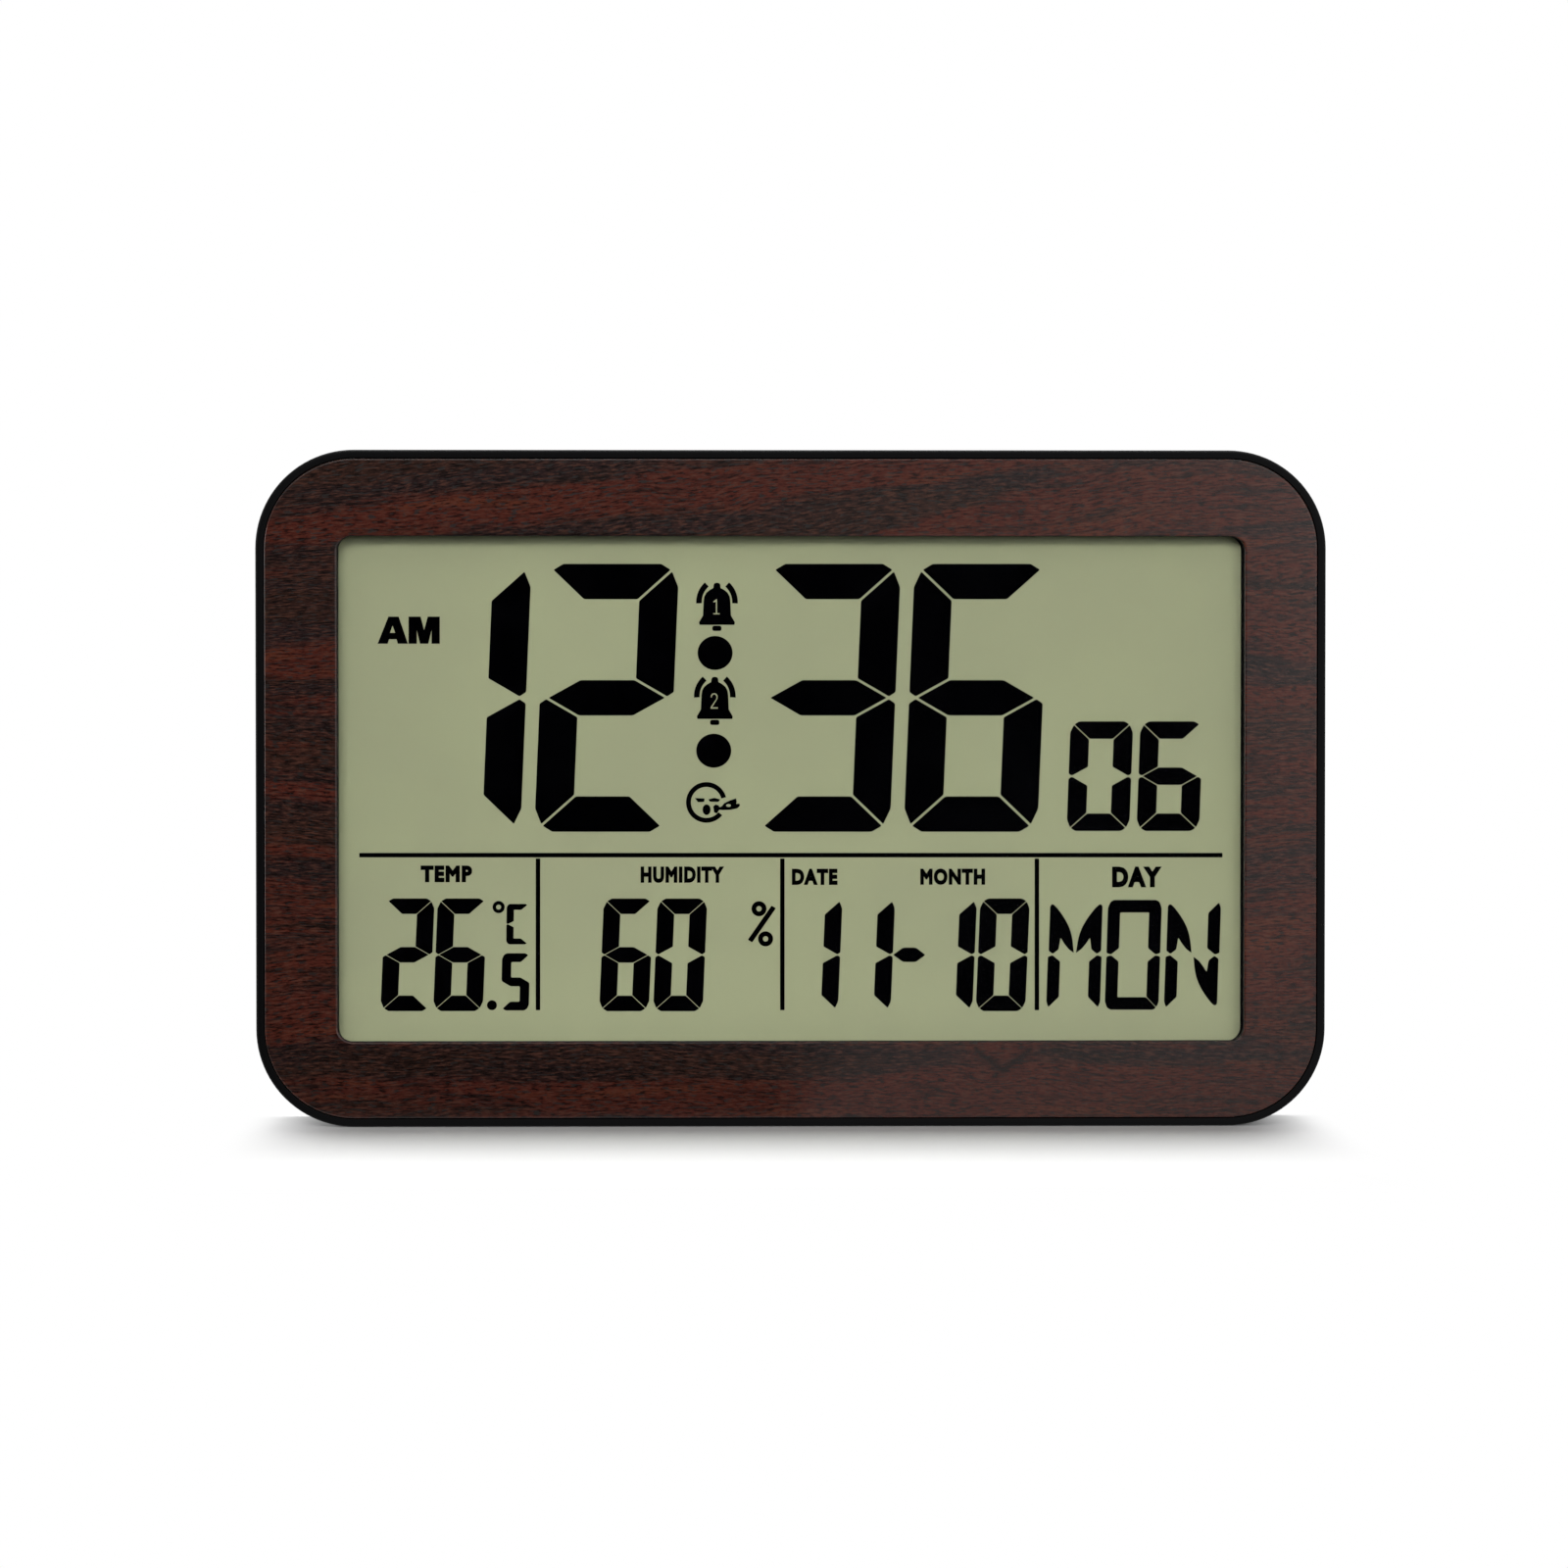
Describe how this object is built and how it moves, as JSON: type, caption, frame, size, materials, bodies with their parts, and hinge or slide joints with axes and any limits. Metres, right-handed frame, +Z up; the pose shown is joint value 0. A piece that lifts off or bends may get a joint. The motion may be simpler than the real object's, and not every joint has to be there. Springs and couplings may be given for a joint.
{
  "type": "digital clock",
  "caption": "Digital clock with a wood-effect front, a liquid crystal display, a fold-out stand, back buttons and a battery door.",
  "frame": {"origin": "under the middle of the case, on the surface that the clock stands on", "axes": "+X to the right of someone who reads the clock, +Y from the front to the back, +Z up"},
  "size_m": [0.216, 0.027, 0.1366],
  "materials": {
    "wood_effect_panel": "printed dark rosewood grain under a satin coat",
    "black_case": "satin black moulded plastic",
    "black_cover": "fine-textured black moulded plastic",
    "clear_acrylic": "clear and polished",
    "display_glass": "clear",
    "display_film": "grey-green reflective film",
    "white_plastic": "moulded white plastic",
    "contact_rubber": "layered conductive rubber",
    "circuit_board": "green solder mask",
    "screw_steel": "zinc plated",
    "contact_steel": "nickel plated",
    "sounder_brass": "rolled sheet",
    "black_resin": "glossy black resin",
    "cell_jacket": "plain blue printed jacket",
    "red_wire": "smooth insulation",
    "black_wire": "smooth insulation",
    "grey_wire": "smooth insulation"
  },
  "bodies": {
    "case": {"front_panel": "wood_effect_panel", "front_case": "black_case", "rear_cover": "black_cover", "case_screw_1": "screw_steel", "case_screw_2": "screw_steel", "case_screw_3": "screw_steel", "case_screw_4": "screw_steel", "window_lens": "clear_acrylic", "front_polariser": "display_film", "front_glass": "display_glass", "rear_glass": "display_glass", "reflector": "display_film", "display_holder": "white_plastic", "contact_strip": "contact_rubber", "holder_screw_1": "screw_steel", "holder_screw_2": "screw_steel", "holder_screw_3": "screw_steel", "holder_screw_4": "screw_steel", "main_board": "circuit_board", "chip_cover": "black_resin", "crystal_can": "screw_steel", "capacitor": "black_resin", "upper_cell": "cell_jacket", "lower_cell": "cell_jacket", "bridge_contact": "contact_steel", "negative_contact": "contact_steel", "positive_contact": "contact_steel", "key_board": "circuit_board", "key_board_screw_1": "screw_steel", "key_board_screw_2": "screw_steel", "mode_switch": "contact_steel", "alarm_switch": "contact_steel", "up_switch": "contact_steel", "down_switch": "contact_steel", "unit_switch": "contact_steel", "snooze_switch": "contact_steel", "sensor_board": "circuit_board", "humidity_sensor": "white_plastic", "sensor_board_screw_1": "screw_steel", "sensor_board_screw_2": "screw_steel", "sounder_disc": "sounder_brass", "battery_lead_red": "red_wire", "battery_lead_black": "black_wire", "sensor_lead": "grey_wire", "sounder_lead": "grey_wire", "ribbon_cable": "grey_wire"},
    "stand": {"stand_leg": "black_cover"},
    "door": {"battery_door": "black_cover"},
    "mode_key": {"mode_button": "black_cover", "mode_plunger": "black_resin"},
    "alarm_key": {"alarm_button": "black_cover", "alarm_plunger": "black_resin"},
    "up_key": {"up_button": "black_cover", "up_plunger": "black_resin"},
    "down_key": {"down_button": "black_cover", "down_plunger": "black_resin"},
    "unit_key": {"unit_button": "black_cover", "unit_plunger": "black_resin"},
    "snooze_key": {"snooze_button": "black_cover", "snooze_plunger": "black_resin"}
  },
  "joints": [
    {"name": "stand_hinge", "type": "hinge", "parent": "case", "child": "stand", "pos_m": [0, 0.0105, 0.058], "axis": [1, 0, 0], "range_deg": [0, 25]},
    {"name": "door_lift", "type": "slide", "parent": "case", "child": "door", "axis": [0, 0.7071, 0.7071], "range_m": [0, 0.04]},
    {"name": "mode_press", "type": "slide", "parent": "case", "child": "mode_key", "axis": [0, -1, 0], "range_m": [0, 0.0008], "stiffness_N_per_m": 1200, "springref_m": -0.0003},
    {"name": "alarm_press", "type": "slide", "parent": "case", "child": "alarm_key", "axis": [0, -1, 0], "range_m": [0, 0.0008], "stiffness_N_per_m": 1200, "springref_m": -0.0003},
    {"name": "up_press", "type": "slide", "parent": "case", "child": "up_key", "axis": [0, -1, 0], "range_m": [0, 0.0008], "stiffness_N_per_m": 1200, "springref_m": -0.0003},
    {"name": "down_press", "type": "slide", "parent": "case", "child": "down_key", "axis": [0, -1, 0], "range_m": [0, 0.0008], "stiffness_N_per_m": 1200, "springref_m": -0.0003},
    {"name": "unit_press", "type": "slide", "parent": "case", "child": "unit_key", "axis": [0, -1, 0], "range_m": [0, 0.0008], "stiffness_N_per_m": 1200, "springref_m": -0.0003},
    {"name": "snooze_press", "type": "slide", "parent": "case", "child": "snooze_key", "axis": [0, -1, 0], "range_m": [0, 0.0008], "stiffness_N_per_m": 1200, "springref_m": -0.0003}
  ]
}
